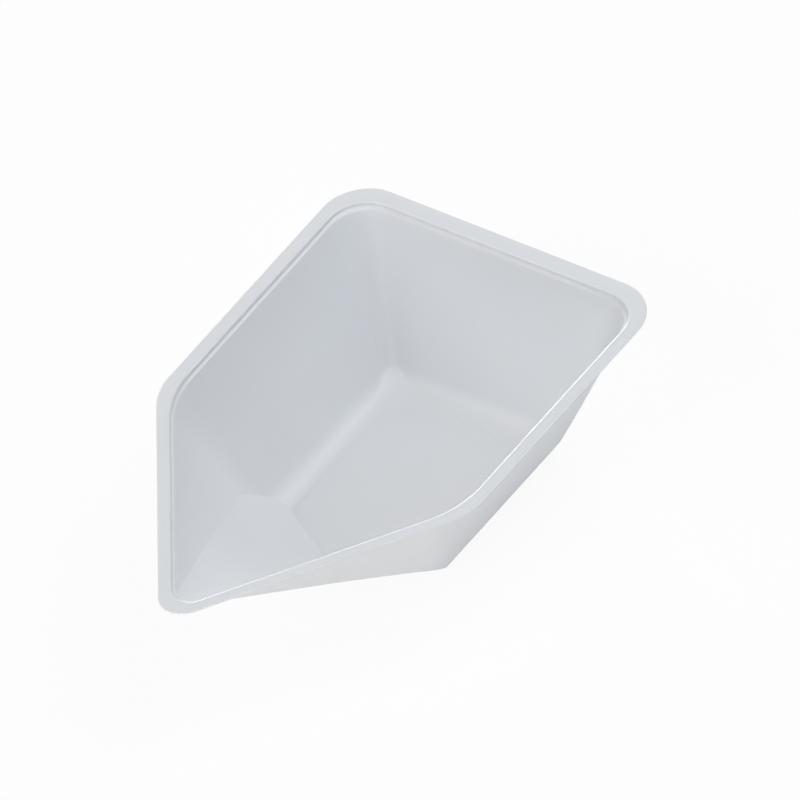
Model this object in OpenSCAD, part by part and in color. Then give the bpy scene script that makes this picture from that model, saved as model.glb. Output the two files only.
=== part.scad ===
// Pouring weighing boat: one thermoformed sheet with a flat rim, a small step
// under the rim, five drafted walls, a coved floor and a vee-shaped pouring ramp.
// +X points to the pouring tip, +Z is up, and the floor's underside is at z = 0.

/* [Overall size] */
// Length over the rim, from the back edge to the rounded tip
boat_length = 133.3; // [120:0.1:150]
// Width over the rim
boat_width = 86; // [76:0.5:96]
// Height from the underside of the floor to the top of the rim
boat_height = 36.1; // [28:0.1:40]

/* [Plan shape] */
// Angle between the centreline and each side of the nose
nose_angle = 35.1; // [31:0.1:40]
// Cut corner radius of the rim at the back
trim_back_r = 11; // [8:0.5:14]
// Cut corner radius of the rim at the shoulders
trim_shoulder_r = 17; // [12:0.5:24]
// Cut corner radius of the rim at the tip
trim_tip_r = 5.8; // [4:0.1:8]
// Corner radius of the mouth at the back
mouth_back_r = 8.9; // [6:0.1:12]
// Corner radius of the mouth at the shoulders
mouth_shoulder_r = 25; // [14:0.5:30]
// Corner radius of the mouth at the tip
mouth_tip_r = 4.9; // [3:0.1:6]

/* [Rim] */
// Width of the flat rim
rim_w = 3.45; // [2.5:0.05:5]
// How far the rim was cut off centre, towards the back
trim_shift = 0.63; // [0:0.01:0.9]
// Thickness of the rim, which keeps the gauge of the sheet
rim_t = 0.4; // [0.35:0.05:0.6]
// Bend radius under the inner edge of the rim
rim_bend_r = 0.15; // [0.1:0.05:0.4]

/* [Step under the rim] */
// Depth of the step below the top of the rim
step_depth = 1.3; // [1.2:0.1:2.5]
// Radius of the fillet at the foot of the step
step_fillet_r = 0.5; // [0.3:0.05:0.7]
// Bend radius under the ledge of the step, where it turns down into the wall
step_bend_r = 0.25; // [0.2:0.05:0.6]

/* [Walls and floor] */
// Thickness of the drawn walls and the floor
wall_t = 0.35; // [0.3:0.05:0.5]
// Lean of every wall from upright
draft = 25; // [18:0.5:26]
// Corner radius at the foot of the walls, at the back
foot_back_r = 3.5; // [2:0.5:6]
// Corner radius at the foot of the walls, at the shoulders
foot_shoulder_r = 8; // [4:0.5:12]
// Radius of the cove between the walls and the floor
cove_r = 6; // [3:0.5:7]
// Corner radius of the flat part of the floor
floor_corner_r = 14; // [6:0.5:17]

/* [Pouring ramp] */
// Slope of the ramp along its valley
ramp_angle = 33.3; // [30:0.1:38]
// Angle in plan between the valley and each side of the vee, at the lip
lip_vee_angle = 50; // [45:1:60]
// Angle in plan between the valley and each side of the vee, at the floor
floor_vee_angle = 59; // [50:1:70]
// Softness of the valley, as the half width of its rounded bottom
valley_w = 4; // [1.5:0.1:5]

/* [Hidden] */

// Points along each curve, and rings down the walls
back_steps = 8;
shoulder_steps = 9;
vee_steps = 9;
bend_steps = 3;
wall_steps = 14;
cove_steps = 7;
// Spacing of the ring points that close up beside the ramp's edge
close_up = 0.3;
// How much more tightly ring points sit near the valley than at the ramp's edges
valley_crowding = 1.4;
// How far below level the ledge of the step slopes before it bends down into the wall
ledge_lean = 15;

// Directions, in the plane of a wall's section, that point into the sheet
DOWN = 270;
OUTWARD = 180;
into_ledge = DOWN - ledge_lean;
into_wall = OUTWARD + draft;

// The cut outline and the mouth outline, as the three lines that bound each
trim_back_x = -boat_length / 2;
trim_tip_x = boat_length / 2 + trim_tip_r * (1 / sin(nose_angle) - 1);
mouth_back_x = trim_back_x + rim_w + trim_shift;
mouth_side_y = boat_width / 2 - rim_w;
mouth_tip_x = trim_tip_x - rim_w / sin(nose_angle) + trim_shift;

// Heights of the inner skin
floor_z = wall_t;
rim_z = boat_height;

// Corner radii in the order back, shoulder, tip
trim_radii = [trim_back_r, trim_shoulder_r, trim_tip_r];
mouth_radii = [mouth_back_r, mouth_shoulder_r, mouth_tip_r];
foot_radii = [foot_back_r, foot_shoulder_r, mouth_tip_r];
floor_radii = [floor_corner_r, foot_shoulder_r, mouth_tip_r];

function mix(a, b, share) = a + (b - a) * share;
function toward(angle) = [cos(angle), sin(angle)];

// Section of the sheet, from the rim to the floor. Each station is
// [inset from the mouth outline, height, direction into the sheet, corner radii].
rim_over_r = rim_bend_r + rim_t;
step_over_r = step_bend_r + wall_t;
step_foot = [step_fillet_r, rim_z - step_depth + step_fillet_r];
ledge_end = step_foot + step_fillet_r * toward(into_ledge);
wall_bend = ledge_end + step_over_r * toward(into_ledge);
wall_top = wall_bend - step_over_r * toward(into_wall);
cove_z = floor_z + cove_r;
cove_top_z = cove_z + cove_r * sin(into_wall);
wall_inset = wall_top.x + (wall_top.y - cove_top_z) * tan(draft);
cove_x = wall_inset - cove_r * cos(into_wall);

function station(place, into, radii) = [place.x, place.y, into, radii];

// The sheet bends over a centre inside it at the rim and at the ledge
function bent_over(centre, r, from, to, radii) =
    [for (i = [0 : bend_steps])
        let (into = mix(from, to, i / bend_steps))
        station(centre - r * toward(into), into, radii)];

// The sheet bends round a centre in the cavity at the step and at the cove
function bent_round(centre, r, from, to, steps, radii, end_radii) =
    [for (i = [0 : steps])
        let (into = mix(from, to, i / steps))
        station(centre + r * toward(into), into, mix(radii, end_radii, (i / steps) ^ 2))];

rim_stations = bent_over([-rim_over_r, rim_z - rim_over_r], rim_over_r, DOWN, OUTWARD, mouth_radii);

step_stations = concat(
    bent_round(step_foot, step_fillet_r, OUTWARD, into_ledge, bend_steps, mouth_radii, mouth_radii),
    [for (i = [1 : bend_steps]) bent_over(wall_bend, step_over_r, into_ledge, into_wall, mouth_radii)[i]]);

// Corner radii shrink quickly below the step and then ease to those of the foot
wall_stations =
    [for (i = [1 : wall_steps])
        let (share = i / wall_steps)
        let (place = mix(wall_top, [wall_inset, cove_top_z], share))
        station(place, into_wall, mix(foot_radii, mouth_radii, (1 - share) ^ 2))];

cove_stations =
    [for (i = [1 : cove_steps])
        bent_round([cove_x, cove_z], cove_r, into_wall, DOWN, cove_steps, foot_radii, floor_radii)[i]];

// Point on the centreline of the nose where its sides would meet, at an inset
function nose_x(inset) = mouth_tip_x - inset / sin(nose_angle);

function arc(centre, r, from, to, steps) =
    [for (i = [0 : steps]) centre + r * toward(mix(from, to, i / steps))];

// Half of an outline from the end of the back edge to the start of the tip's arc
function wall_path(inset, radii) =
    let (back = inset + radii[0], shoulder = inset + radii[1], tip = inset + radii[2])
    let (shoulder_y = mouth_side_y - shoulder)
    concat(
        arc([mouth_back_x + back, mouth_side_y - back], radii[0], OUTWARD, 90, back_steps),
        arc([nose_x(shoulder) - shoulder_y / tan(nose_angle), shoulder_y], radii[1],
            90, 90 - nose_angle, shoulder_steps),
        [[nose_x(tip), 0] + radii[2] * toward(90 - nose_angle)]);

// Distance along a path to each of its points
function reaches(path) =
    [for (i = 0, s = 0; i < len(path); i = i + 1, s = i < len(path) ? s + norm(path[i] - path[i - 1]) : s) s];

// Point at a distance s along a path
function along(path, reach, s) =
    let (i = min(len([for (r = reach) if (r <= s) r]), len(path) - 1) - 1)
    mix(path[i], path[i + 1], (s - reach[i]) / (reach[i + 1] - reach[i]));

// Front end of an outline at a distance y from the centreline
function tip_x(y, inset, r) =
    y < r * cos(nose_angle) ? nose_x(inset + r) + sqrt(r ^ 2 - y ^ 2) : nose_x(inset) - y / tan(nose_angle);

// The ramp's surface, as its place along X at a height z and a distance y from the
// centreline. It ends at the tip of the wall's top edge, and the vee opens out towards
// the floor. Below is how deep the skin lies under the inner skin.
lip_x = tip_x(0, wall_top.x, mouth_tip_r);
function ramp_x(y, z, below) =
    let (slope = tan(ramp_angle), share = (z - floor_z) / (wall_top.y - floor_z))
    let (sweep = mix(1 / tan(floor_vee_angle), 1 / tan(lip_vee_angle), share))
    let (shift = below * sqrt(1 + slope ^ 2 * (1 + sweep ^ 2)) / slope)
    lip_x + (z - wall_top.y) / slope - sweep * (sqrt(y ^ 2 + valley_w ^ 2) - valley_w) + shift;

// Distance along a path at which the ramp's edge crosses it, found by halving
function ramp_edge(path, reach, z, below, low, high, tries = 24) =
    let (middle = (low + high) / 2, p = along(path, reach, middle))
    tries == 0 ? middle
    : p.x > ramp_x(p.y, z, below) ? ramp_edge(path, reach, z, below, low, middle, tries - 1)
    : ramp_edge(path, reach, z, below, middle, high, tries - 1);

// One ring of the skin: walls to the ramp's edge, then the ramp to the centreline.
// Points that would lie past the edge close up just short of it, so that the edge is
// the same point in every ring.
function half_ring(inset, z, radii, below, ramped) =
    let (path = wall_path(inset, radii), reach = reaches(path), last = len(path) - 1)
    let (edge = ramped ? ramp_edge(path, reach, z, below, 0, reach[last]) : reach[last])
    let (edge_y = along(path, reach, edge).y)
    concat(
        [for (i = [0 : last]) along(path, reach, min(reach[i], edge - (last - i) * close_up))],
        [for (i = [vee_steps - 1 : -1 : 0])
            let (y = edge_y * (i / vee_steps) ^ valley_crowding, x = tip_x(y, inset, radii[2]))
            [ramped ? min(x, ramp_x(y, z, below)) : x, y]]);

function whole_ring(half, z, shift = 0) =
    concat(
        [for (p = half) [p.x + shift, p.y, z]],
        [for (i = [len(half) - 2 : -1 : 0]) [half[i].x + shift, -half[i].y, z]]);

// The ring of a skin that lies a thickness t into the sheet from a station
function ring(s, t, ramped) =
    let (into = toward(s[2]))
    let (inset = s[0] + t * into.x, z = s[1] + t * into.y, wider = -t * into.x)
    whole_ring(half_ring(inset, z, [for (r = s[3]) r + wider], t, ramped), z);

function trim_ring(z) = whole_ring(half_ring(-rim_w, z, trim_radii, 0, false), z, -trim_shift);

// Gauge of the sheet, which thins from the rim to the wall over the step
function step_t(i, stations) = mix(rim_t, wall_t, i / (len(stations) - 1));

upper = concat(rim_stations, step_stations);
lower = concat(wall_stations, cove_stations);

inner_skin = concat(
    [trim_ring(rim_z)],
    [for (s = upper) ring(s, 0, false)],
    [for (s = lower) ring(s, 0, true)]);

outer_skin = concat(
    [trim_ring(rim_z - rim_t)],
    [for (i = [0 : len(upper) - 1]) ring(upper[i], step_t(i, upper), false)],
    [for (s = lower) ring(s, wall_t, true)]);

function middle(ring) = [for (p = ring) 1] * ring / len(ring);

// Closes a stack of rings, all of one length, into a solid. Each end is a fan of
// triangles round its middle.
module loft(rings) {
    count = len(rings[0]);
    end = len(rings) * count;
    sides = [for (j = [0 : len(rings) - 2], i = [0 : count - 1])
        let (a = j * count, b = a + count, next = (i + 1) % count)
        [a + i, a + next, b + next, b + i]];
    first_cap = [for (i = [0 : count - 1]) [end, (i + 1) % count, i]];
    last_cap = [for (i = [0 : count - 1]) [end + 1, end - count + i, end - count + (i + 1) % count]];
    points = concat([for (r = rings) each r], [middle(rings[0]), middle(rings[len(rings) - 1])]);
    polyhedron(points, concat(sides, first_cap, last_cap), convexity = 6);
}

module boat() {
    last = len(inner_skin) - 1;
    inside_up = [for (i = [last : -1 : 0]) inner_skin[i]];
    color([0.87, 0.89, 0.91])
        loft(concat(inside_up, outer_skin));
}

boat();
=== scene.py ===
import math
from collections import namedtuple

import bpy
import numpy as np
from mathutils import Matrix, Vector


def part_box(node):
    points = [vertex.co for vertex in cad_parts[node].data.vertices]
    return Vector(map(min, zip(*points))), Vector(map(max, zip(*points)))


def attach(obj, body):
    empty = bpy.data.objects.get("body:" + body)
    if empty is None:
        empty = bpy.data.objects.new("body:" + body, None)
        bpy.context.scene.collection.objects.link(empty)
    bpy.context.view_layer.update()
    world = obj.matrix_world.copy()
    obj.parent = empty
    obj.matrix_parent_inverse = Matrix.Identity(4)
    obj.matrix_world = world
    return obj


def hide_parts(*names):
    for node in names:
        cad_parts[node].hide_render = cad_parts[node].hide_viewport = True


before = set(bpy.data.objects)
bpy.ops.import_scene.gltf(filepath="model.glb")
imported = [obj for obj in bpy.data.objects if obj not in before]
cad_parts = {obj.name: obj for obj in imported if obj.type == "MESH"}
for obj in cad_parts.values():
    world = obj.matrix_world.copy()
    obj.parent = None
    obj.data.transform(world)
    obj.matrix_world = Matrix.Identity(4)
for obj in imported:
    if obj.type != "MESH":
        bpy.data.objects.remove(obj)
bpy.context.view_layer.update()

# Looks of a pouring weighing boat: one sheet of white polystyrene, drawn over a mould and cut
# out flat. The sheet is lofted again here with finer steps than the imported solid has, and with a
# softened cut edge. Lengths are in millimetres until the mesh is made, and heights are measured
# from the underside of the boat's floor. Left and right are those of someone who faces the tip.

NODE = "boat"
BODY = "root"
MM = 0.001
low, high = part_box(NODE)
LENGTH, WIDTH, HEIGHT = (high - low) / MM

# Plan shape. Each list of radii holds those of the back corners, the shoulders and the tip.
BACK, SHOULDER, TIP = range(3)
NOSE_ANGLE = 35.1
TRIM_RADII = np.array([11.0, 17.0, 5.8])
MOUTH_TIP_R = 4.9
MOUTH_RADII = np.array([8.9, 25.0, MOUTH_TIP_R])
FOOT_RADII = np.array([3.5, 8.0, MOUTH_TIP_R])
FLOOR_RADII = np.array([14.0, 8.0, MOUTH_TIP_R])
RIM_W = 3.45
TRIM_SHIFT = 0.63                             # how far towards the back the cut is off centre

# Section of the sheet
RIM_T = 0.4
WALL_T = 0.35
RIM_BEND_R = 0.15
CUT_EDGE_R = 0.13
STEP_DEPTH = 1.3
STEP_FILLET_R = 0.5
STEP_BEND_R = 0.25
LEDGE_LEAN = 15
DRAFT = 25
COVE_R = 6.0

# Pouring ramp
RAMP_ANGLE = 33.3
LIP_VEE_ANGLE = 50
FLOOR_VEE_ANGLE = 59
VALLEY_W = 4.0                                # how broadly the bottom of the vee is rounded

# Points along each part of an outline, and rings along each part of the section
BACK_STEPS = 10
CORNER_STEPS = 22
SIDE_STEPS = 14
SHOULDER_STEPS = 22
NOSE_STEPS = 14
VEE_STEPS = 26
VALLEY_CROWDING = 1.4                         # above 1, points lie closer near the valley
EDGE_SHARES = [0.99, 0.975]                   # ramp points that keep its edge crisp
BEND_STEPS = 8
WALL_STEPS = 40
COVE_STEPS = 16
CUT_EDGE_STEPS = 3
SUPPORT = 0.2                                 # rings this close to a bend keep flat faces flat
CLOSE_UP = 0.12                               # least gap of the wall's points at the ramp's edge
HALVINGS = 40

# Points across the ramp or the tip, as shares of the way from the centreline to its edge
VEE_SHARES = np.array(EDGE_SHARES + [(i / VEE_STEPS) ** VALLEY_CROWDING
                                     for i in range(VEE_STEPS - 1, -1, -1)])

# Rings across the flat rim and the floor, as shares of the way
RIM_SHARES = [0.06, 0.3, 0.7, 0.94]
FLOOR_SHARES = [0.93, 0.8, 0.6, 0.4, 0.2]

# Profile of the faint line round the floor: distances inside the floor's edge, and the rise there
PANEL_STEPS = [(0.35, 0.02), (0.7, 0.08), (1.05, 0.12), (1.4, 0.13)]

# Directions on the section, where 0 points inwards and 90 up
DOWN = 270
OUTWARD = 180
INTO_LEDGE = DOWN - LEDGE_LEAN
INTO_WALL = OUTWARD + DRAFT


def cos(degrees):
    return math.cos(math.radians(degrees))


def sin(degrees):
    return math.sin(math.radians(degrees))


def tan(degrees):
    return math.tan(math.radians(degrees))


def toward(degrees):
    """A unit step in a plane, at an angle."""
    return np.array([cos(degrees), sin(degrees)])


def mix(a, b, share):
    return a + (b - a) * share


# The lines that bound the cut outline and the mouth
TRIM_BACK_X = -LENGTH / 2
TRIM_TIP_X = LENGTH / 2 + TRIM_RADII[TIP] * (1 / sin(NOSE_ANGLE) - 1)
MOUTH_BACK_X = TRIM_BACK_X + RIM_W + TRIM_SHIFT
MOUTH_SIDE_Y = WIDTH / 2 - RIM_W
MOUTH_TIP_X = TRIM_TIP_X - RIM_W / sin(NOSE_ANGLE) + TRIM_SHIFT

# Centres of the section's bends, as inset from the mouth and height
RIM_OVER_R = RIM_BEND_R + RIM_T
STEP_OVER_R = STEP_BEND_R + WALL_T
STEP_FOOT = np.array([STEP_FILLET_R, HEIGHT - STEP_DEPTH + STEP_FILLET_R])
LEDGE_END = STEP_FOOT + STEP_FILLET_R * toward(INTO_LEDGE)
WALL_BEND = LEDGE_END + STEP_OVER_R * toward(INTO_LEDGE)
WALL_TOP = WALL_BEND - STEP_OVER_R * toward(INTO_WALL)
FLOOR_Z = WALL_T
COVE_Z = FLOOR_Z + COVE_R
COVE_TOP_Z = COVE_Z + COVE_R * sin(INTO_WALL)
WALL_FOOT = np.array([WALL_TOP[0] + (WALL_TOP[1] - COVE_TOP_Z) * tan(DRAFT), COVE_TOP_Z])
COVE_CENTRE = np.array([WALL_FOOT[0] - COVE_R * cos(INTO_WALL), COVE_Z])

# A place on the section: inset and height, direction into the sheet, corner radii of the
# outline there, thickness of the sheet, and whether the ramp cuts the outline
Station = namedtuple("Station", "place into radii thickness ramped")


def bend(centre, radius, start, end, radii, end_radii, gauge, end_gauge, ramped, steps):
    """Stations round a bend. A negative radius bends the sheet over a centre inside it."""
    made = []
    for i in range(steps + 1):
        share = i / steps
        into = mix(start, end, share)
        corner = mix(radii, end_radii, share ** 2)
        thickness = mix(gauge, end_gauge, share)
        made.append(Station(centre + radius * toward(into), into, corner, thickness, ramped))
    return made


def rim_and_step():
    """Stations from the flat rim down to the top of the wall."""
    bends = [
        (np.array([-RIM_OVER_R, HEIGHT - RIM_OVER_R]), -RIM_OVER_R, DOWN, OUTWARD),
        (STEP_FOOT, STEP_FILLET_R, OUTWARD, INTO_LEDGE),
        (WALL_BEND, -STEP_OVER_R, INTO_LEDGE, INTO_WALL),
    ]
    made = []
    for i, (centre, radius, start, end) in enumerate(bends):
        gauge = mix(RIM_T, WALL_T, i / len(bends))
        end_gauge = mix(RIM_T, WALL_T, (i + 1) / len(bends))
        made += bend(centre, radius, start, end, MOUTH_RADII, MOUTH_RADII, gauge, end_gauge,
                     False, BEND_STEPS)
    return made


def wall_and_cove():
    """Stations down the wall and round the cove to the floor."""
    span = np.linalg.norm(WALL_FOOT - WALL_TOP)
    shares = [SUPPORT / span] + [i / WALL_STEPS for i in range(1, WALL_STEPS)]
    shares += [1 - SUPPORT / span, 1]
    made = []
    for share in shares:
        radii = mix(FOOT_RADII, MOUTH_RADII, (1 - share) ** 2)
        made.append(Station(mix(WALL_TOP, WALL_FOOT, share), INTO_WALL, radii, WALL_T, True))
    cove = bend(COVE_CENTRE, COVE_R, INTO_WALL, DOWN, FOOT_RADII, FLOOR_RADII, WALL_T, WALL_T,
                True, COVE_STEPS)
    return made + cove[1:]


def nose_x(inset):
    """Point on the centreline where the sides of the nose would meet, at an inset."""
    return MOUTH_TIP_X - inset / sin(NOSE_ANGLE)


def arc(centre, radius, start, end, steps):
    """Points round an arc, with its two ends."""
    return [np.array(centre) + radius * toward(mix(start, end, i / steps)) for i in range(steps + 1)]


def between(a, b, steps):
    """Points that divide a straight stretch, without its two ends."""
    return [mix(a, b, i / steps) for i in range(1, steps)]


def half_outline(inset, radii):
    """Half an outline, from the middle of the back to the start of the tip's arc."""
    back, shoulder, tip = inset + radii
    shoulder_y = MOUTH_SIDE_Y - shoulder
    shoulder_x = nose_x(shoulder) - shoulder_y / tan(NOSE_ANGLE)
    corner = arc((MOUTH_BACK_X + back, MOUTH_SIDE_Y - back), radii[BACK], 180, 90, CORNER_STEPS)
    bow = arc((shoulder_x, shoulder_y), radii[SHOULDER], 90, 90 - NOSE_ANGLE, SHOULDER_STEPS)
    middle = np.array([corner[0][0], 0])
    tip_start = np.array([nose_x(tip), 0]) + radii[TIP] * toward(90 - NOSE_ANGLE)
    return np.array([middle] + between(middle, corner[0], BACK_STEPS)
                    + corner + between(corner[-1], bow[0], SIDE_STEPS)
                    + bow + between(bow[-1], tip_start, NOSE_STEPS) + [tip_start])


def along(path, reach, s):
    """Points of a path at distances s along it."""
    return np.stack([np.interp(s, reach, path[:, 0]), np.interp(s, reach, path[:, 1])], -1)


def tip_x(y, inset, radius):
    """Front end of an outline at distances y from the centreline."""
    round_x = nose_x(inset + radius) + np.sqrt(np.maximum(radius ** 2 - y ** 2, 0))
    return np.where(y < radius * cos(NOSE_ANGLE), round_x, nose_x(inset) - y / tan(NOSE_ANGLE))


LIP_X = float(tip_x(0.0, WALL_TOP[0], MOUTH_RADII[TIP]))


def ramp_x(y, z, below):
    """Place of the ramp along X, at a depth below its upper skin."""
    slope = tan(RAMP_ANGLE)
    share = (z - FLOOR_Z) / (WALL_TOP[1] - FLOOR_Z)
    sweep = mix(1 / tan(FLOOR_VEE_ANGLE), 1 / tan(LIP_VEE_ANGLE), share)
    shift = below * math.sqrt(1 + slope ** 2 * (1 + sweep ** 2)) / slope
    return LIP_X + (z - WALL_TOP[1]) / slope - sweep * (np.hypot(y, VALLEY_W) - VALLEY_W) + shift


def ramp_edge(path, reach, z, below):
    """Distance along a path at which the ramp crosses it, found by halving."""
    near, far = 0.0, reach[-1]
    for _ in range(HALVINGS):
        middle = (near + far) / 2
        x, y = along(path, reach, middle)
        if x > ramp_x(y, z, below):
            far = middle
        else:
            near = middle
    return (near + far) / 2


def whole_ring(half, z):
    """A ring at one height, from half of it and its mirror image."""
    other = half[-2:0:-1] * [1, -1]
    flat = np.vstack([half, other])
    return np.column_stack([flat, np.full(len(flat), z)])


def outline_ring(inset, z, radii, below, ramped):
    """A ring of the skin: the walls up to the ramp's edge, then the ramp or the tip."""
    path = half_outline(inset, radii)
    reach = np.concatenate([[0], np.cumsum(np.linalg.norm(np.diff(path, axis=0), axis=1))])
    edge = ramp_edge(path, reach, z, below) if ramped else reach[-1]
    short_of_edge = np.arange(len(path))[::-1] * CLOSE_UP
    wall = along(path, reach, np.minimum(reach, edge - short_of_edge))
    y = wall[-1, 1] * VEE_SHARES
    x = tip_x(y, inset, radii[TIP])
    if ramped:
        x = np.minimum(x, ramp_x(y, z, below))
    return whole_ring(np.vstack([wall, np.column_stack([x, y])]), z)


def ring(station, depth):
    """The ring of a skin that lies some depth into the sheet at a station."""
    into = toward(station.into)
    inset, z = station.place + depth * into
    return outline_ring(inset, z, station.radii - depth * into[0], depth, station.ramped)


def trim_ring(z, inset=0.0):
    """A ring near the cut edge of the rim, an inset inside it."""
    made = outline_ring(inset - RIM_W, z, TRIM_RADII - inset, 0, False)
    made[:, 0] -= TRIM_SHIFT
    return made


def rim_flat(outer, inner):
    """Rings between two rings of the flat rim."""
    return [mix(outer, inner, share) for share in RIM_SHARES]


def floor_rings(edge, raised):
    """Rings that shrink from the floor's edge to a point in its middle. The upper skin rises
    a little just inside the edge, which leaves a faint line round the floor."""
    middle = edge.mean(axis=0)
    size = np.linalg.norm(edge - middle, axis=1).mean()
    rings = [mix(edge, middle, step / size) + [0, 0, rise * raised] for step, rise in PANEL_STEPS]
    top = rings[-1]
    middle = middle + [0, 0, PANEL_STEPS[-1][1] * raised]
    return rings + [mix(middle, top, share) for share in FLOOR_SHARES], middle


def cut_edge():
    """Rings round the cut edge, from its top corner to its bottom corner."""
    corners = [(HEIGHT - CUT_EDGE_R, 90, 0), (HEIGHT - RIM_T + CUT_EDGE_R, 0, -90)]
    made = []
    for corner_z, start, end in corners:
        for outward, upward in arc((0, 0), CUT_EDGE_R, start, end, CUT_EDGE_STEPS):
            made.append(trim_ring(corner_z + upward, CUT_EDGE_R - outward))
    return made


def skin_rings():
    """All rings, from the middle of the upper floor over the rim to the middle underneath."""
    stations = rim_and_step() + wall_and_cove()
    upper = [ring(s, 0) for s in stations]
    under = [ring(s, s.thickness) for s in stations]
    edge = cut_edge()
    inside, top_middle = floor_rings(upper[-1], 1)
    outside, under_middle = floor_rings(under[-1], 0)
    rings = inside[::-1] + upper[::-1] + rim_flat(edge[0], upper[0])[::-1] + edge
    rings += rim_flat(edge[-1], under[0]) + under + outside
    return rings, top_middle, under_middle


def loft(name, rings, first, last):
    """A closed mesh through rings of one length, with a fan of triangles at each end."""
    count = len(rings[0])
    points = np.vstack(rings + [first, last])
    start, finish = len(points) - 2, len(points) - 1
    faces = []
    for j in range(len(rings) - 1):
        for i in range(count):
            a, b = j * count + i, j * count + (i + 1) % count
            faces.append((a, b, b + count, a + count))
    end = (len(rings) - 1) * count
    for i in range(count):
        after = (i + 1) % count
        faces.append((start, after, i))
        faces.append((finish, end + i, end + after))
    mesh = bpy.data.meshes.new(name)
    mesh.from_pydata(points * MM, [], faces)
    mesh.polygons.foreach_set("use_smooth", [True] * len(mesh.polygons))
    mesh.update()
    return mesh


def make_boat():
    rings, top_middle, under_middle = skin_rings()
    mesh = loft("boat_sheet", rings, top_middle, under_middle)
    boat = bpy.data.objects.new("boat_sheet", mesh)
    bpy.context.scene.collection.objects.link(boat)
    mesh.materials.append(polystyrene())
    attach(boat, BODY)
    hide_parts(NODE)


def link(tree, source, output, target, socket):
    tree.links.new(source.outputs[output], target.inputs[socket])


# Polystyrene. Lengths here are in metres, as its nodes take them.
IOR = 1.59
MILKINESS = 0.25
LIGHT_REACH = 0.0006                          # how far light spreads inside the sheet
REACH_BY_COLOUR = (1.0, 1.0, 1.1)
MOTTLE_SCALE = 38
MOTTLE_DETAIL = 3
MOTTLE_RANGE = (0.3, 0.7)                     # noise values at which the tints are reached
DARKER_TINT = (0.750, 0.762, 0.780, 1)
LIGHTER_TINT = (0.760, 0.772, 0.790, 1)
GRAIN_SCALE = 900
GRAIN_DETAIL = 2
GRAIN_STRENGTH = 0.25
GRAIN_DEPTH = 0.00002

# Roughness of the flat rim and of the walls and floor, and how much the mottling adds to it
RIM_ROUGHNESS = 0.2
DRAWN_ROUGHNESS = 0.46
ROUGHNESS_SPREAD = 0.06
DULL_BELOW_STEP = 1.5                         # mm under the step at which the gloss is gone


def polystyrene():
    """Milky white polystyrene sheet: satin, faintly mottled, with a fine moulded skin."""
    material = bpy.data.materials.new("milky_polystyrene")
    material.use_nodes = True
    tree = material.node_tree
    nodes = tree.nodes
    shader = nodes["Principled BSDF"]
    shader.inputs["IOR"].default_value = IOR
    shader.inputs["Subsurface Weight"].default_value = MILKINESS
    shader.inputs["Subsurface Scale"].default_value = LIGHT_REACH
    shader.inputs["Subsurface Radius"].default_value = REACH_BY_COLOUR

    place = nodes.new("ShaderNodeTexCoord")
    mottle = nodes.new("ShaderNodeTexNoise")
    mottle.inputs["Scale"].default_value = MOTTLE_SCALE
    mottle.inputs["Detail"].default_value = MOTTLE_DETAIL
    link(tree, place, "Object", mottle, "Vector")
    tint = nodes.new("ShaderNodeValToRGB")
    stops = zip(tint.color_ramp.elements, MOTTLE_RANGE, (DARKER_TINT, LIGHTER_TINT))
    for stop, position, color in stops:
        stop.position = position
        stop.color = color
    link(tree, mottle, "Fac", tint, "Fac")
    link(tree, tint, "Color", shader, "Base Color")

    # The flat rim keeps the gloss of the sheet, and drawing makes the walls and floor duller
    split = nodes.new("ShaderNodeSeparateXYZ")
    link(tree, place, "Object", split, "Vector")
    drawn = nodes.new("ShaderNodeMapRange")
    drawn.inputs["From Min"].default_value = (HEIGHT - STEP_DEPTH - DULL_BELOW_STEP) * MM
    drawn.inputs["From Max"].default_value = (HEIGHT - RIM_T) * MM
    drawn.inputs["To Min"].default_value = DRAWN_ROUGHNESS
    drawn.inputs["To Max"].default_value = RIM_ROUGHNESS
    link(tree, split, "Z", drawn, "Value")
    gloss = nodes.new("ShaderNodeMath")
    gloss.operation = "MULTIPLY_ADD"
    gloss.inputs[1].default_value = ROUGHNESS_SPREAD
    link(tree, mottle, "Fac", gloss, 0)
    link(tree, drawn, "Result", gloss, 2)
    link(tree, gloss, "Value", shader, "Roughness")

    grain = nodes.new("ShaderNodeTexNoise")
    grain.inputs["Scale"].default_value = GRAIN_SCALE
    grain.inputs["Detail"].default_value = GRAIN_DETAIL
    link(tree, place, "Object", grain, "Vector")
    bump = nodes.new("ShaderNodeBump")
    bump.inputs["Strength"].default_value = GRAIN_STRENGTH
    bump.inputs["Distance"].default_value = GRAIN_DEPTH
    link(tree, grain, "Fac", bump, "Height")
    link(tree, bump, "Normal", shader, "Normal")
    return material


# The studio is in metres
FLOOR_SIDE = 4.0
FLOOR_DROP = 0.00005                          # keeps the floor clear of the boat's underside
FLOOR_ALBEDO = 0.93
SHADOW_SHARE = 0.08                           # how much of the floor's own shading the view keeps


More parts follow.
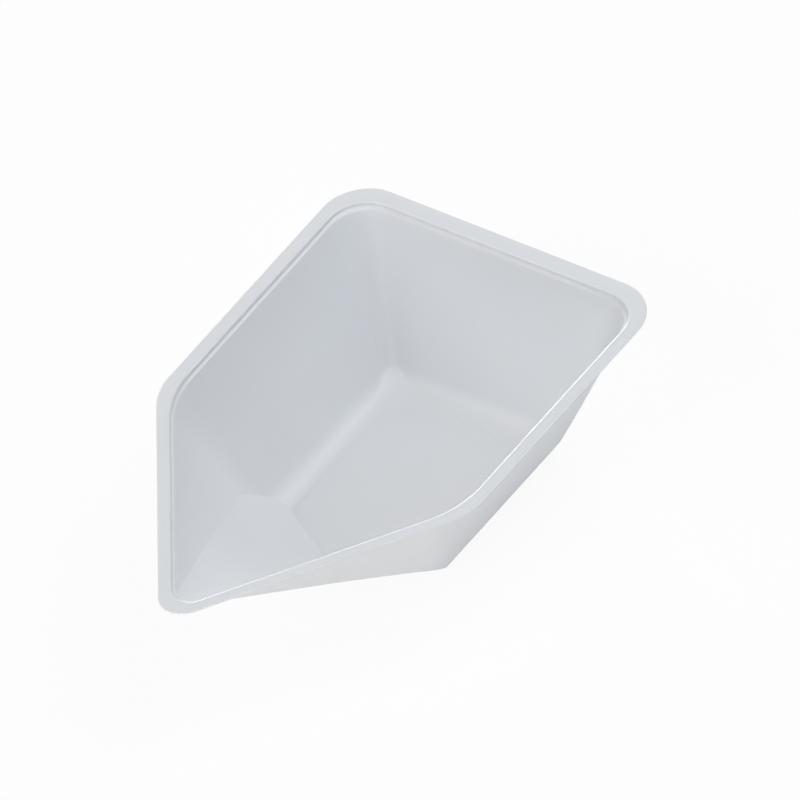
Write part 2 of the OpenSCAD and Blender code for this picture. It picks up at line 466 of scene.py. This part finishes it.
def studio_floor():
    """A white floor that keeps the boat's shadow. What looks at it sees it mostly as plain white."""
    mesh = bpy.data.meshes.new("studio_floor")
    half = FLOOR_SIDE / 2
    corners = [(-half, -half), (half, -half), (half, half), (-half, half)]
    mesh.from_pydata([(x, y, -FLOOR_DROP) for x, y in corners], [], [(0, 1, 2, 3)])
    floor = bpy.data.objects.new("studio_floor", mesh)
    bpy.context.scene.collection.objects.link(floor)
    material = bpy.data.materials.new("white_floor")
    material.use_nodes = True
    tree = material.node_tree
    tree.nodes.clear()
    diffuse = tree.nodes.new("ShaderNodeBsdfDiffuse")
    diffuse.inputs["Color"].default_value = (FLOOR_ALBEDO, FLOOR_ALBEDO, FLOOR_ALBEDO, 1)
    white = tree.nodes.new("ShaderNodeEmission")
    blend = tree.nodes.new("ShaderNodeMixShader")
    out = tree.nodes.new("ShaderNodeOutputMaterial")
    share = tree.nodes.new("ShaderNodeMath")
    share.operation = "MULTIPLY"
    share.inputs[1].default_value = 1 - SHADOW_SHARE
    link(tree, seen_directly(tree), "Value", share, 0)
    link(tree, share, "Value", blend, 0)
    link(tree, diffuse, "BSDF", blend, 1)
    link(tree, white, "Emission", blend, 2)
    link(tree, blend, "Shader", out, "Surface")
    mesh.materials.append(material)


def seen_directly(tree):
    """A node that is 1 for the view itself and for what gloss or clear plastic shows of it."""
    path = tree.nodes.new("ShaderNodeLightPath")
    first = tree.nodes.new("ShaderNodeMath")
    first.operation = "MAXIMUM"
    link(tree, path, "Is Camera Ray", first, 0)
    link(tree, path, "Is Glossy Ray", first, 1)
    second = tree.nodes.new("ShaderNodeMath")
    second.operation = "MAXIMUM"
    link(tree, first, "Value", second, 0)
    link(tree, path, "Is Transmission Ray", second, 1)
    return second


def surroundings():
    """White to the view and to gloss, and dark otherwise, so that the lamps alone light the boat."""
    world = bpy.data.worlds.new("studio")
    bpy.context.scene.world = world
    world.use_nodes = True
    tree = world.node_tree
    background = tree.nodes["Background"]
    link(tree, seen_directly(tree), "Value", background, "Strength")
    background.inputs["Color"].default_value = (1, 1, 1, 1)


AIM = Vector((0, 0, 0.015))                   # inside the boat
LAMP_DISTANCE = 0.9
Softbox = namedtuple("Softbox", "name azimuth elevation side watts warmth")
# High lamps fill the inside and give its walls their steps in brightness. Rim lights make the
# line where the near rim turns down. Low lamps light the outer faces: the table strip is about
# level with the rim, so it hardly reaches the inside. Angles are in degrees.
SOFTBOXES = [
    Softbox("overhead", 0, 90, 0.5, 0.8, 0.1),
    Softbox("back_right_high", 135, 60, 0.5, 2.6, -0.05),
    Softbox("back_right", 115, 35, 0.7, 1.6, -0.1),
    Softbox("back", 180, 35, 0.5, 0.8, 0.1),
    Softbox("front_left", 340, 35, 0.7, 3.9, 0.0),
    Softbox("rim_light_high", 225, 22, 0.2, 1.4, 0.0),
    Softbox("rim_light_low", 235, 10, 0.2, 1.4, -0.1),
    Softbox("front_low", 0, 14, 0.3, 0.7, -0.1),
    Softbox("front_left_low", 315, 14, 0.3, 0.2, 0.1),
    Softbox("table_strip", 20, 1, 0.06, 2.0, 0.1),
]


def bearing(azimuth, elevation):
    """A unit step in space, at an angle round from the tip and an angle up."""
    flat = cos(elevation)
    return Vector((flat * cos(azimuth), flat * sin(azimuth), sin(elevation)))


def softbox(box):
    """A square soft light at a bearing and height round the boat, facing it. Warmth is how far
    its red is above its green, and its blue below."""
    light = bpy.data.lights.new(box.name, "AREA")
    light.shape = "SQUARE"
    light.size = box.side
    light.energy = box.watts
    light.color = (1 + box.warmth, 1, 1 - box.warmth)
    lamp = bpy.data.objects.new(box.name, light)
    bpy.context.scene.collection.objects.link(lamp)
    away = bearing(box.azimuth, box.elevation)
    lamp.location = AIM + away * LAMP_DISTANCE
    lamp.rotation_euler = away.to_track_quat("Z", "Y").to_euler()


def studio_lights():
    surroundings()
    for box in SOFTBOXES:
        softbox(box)


# The camera looks down on the tip and the right side, with a slight roll. The picture's middle
# is placed from the middle of the rim's back edge, in millimetres, as its width is.
VIEW_AZIMUTH = 41.83
VIEW_ELEVATION = 43.45
VIEW_ROLL = -10.28
VIEW_WIDTH = 177.62
VIEW_SHIFT_RIGHT = -24.01
VIEW_SHIFT_UP = -36.06
CAMERA_DISTANCE = 0.9


def camera():
    data = bpy.data.cameras.new("camera")
    data.type = "ORTHO"
    data.ortho_scale = VIEW_WIDTH * MM
    view = bpy.data.objects.new("camera", data)
    bpy.context.scene.collection.objects.link(view)
    toward_viewer = bearing(VIEW_AZIMUTH, VIEW_ELEVATION)
    level = Vector((-sin(VIEW_AZIMUTH), cos(VIEW_AZIMUTH), 0))
    right = level * cos(VIEW_ROLL) + toward_viewer.cross(level) * sin(VIEW_ROLL)
    up = toward_viewer.cross(right)
    back_edge = Vector((low.x, 0, high.z))
    middle = back_edge + (right * VIEW_SHIFT_RIGHT + up * VIEW_SHIFT_UP) * MM
    turn = Matrix((right, up, toward_viewer)).transposed()
    view.matrix_world = Matrix.Translation(middle + toward_viewer * CAMERA_DISTANCE) @ turn.to_4x4()
    bpy.context.scene.camera = view


make_boat()
studio_floor()
studio_lights()
camera()
bpy.context.scene.view_settings.view_transform = "Standard"
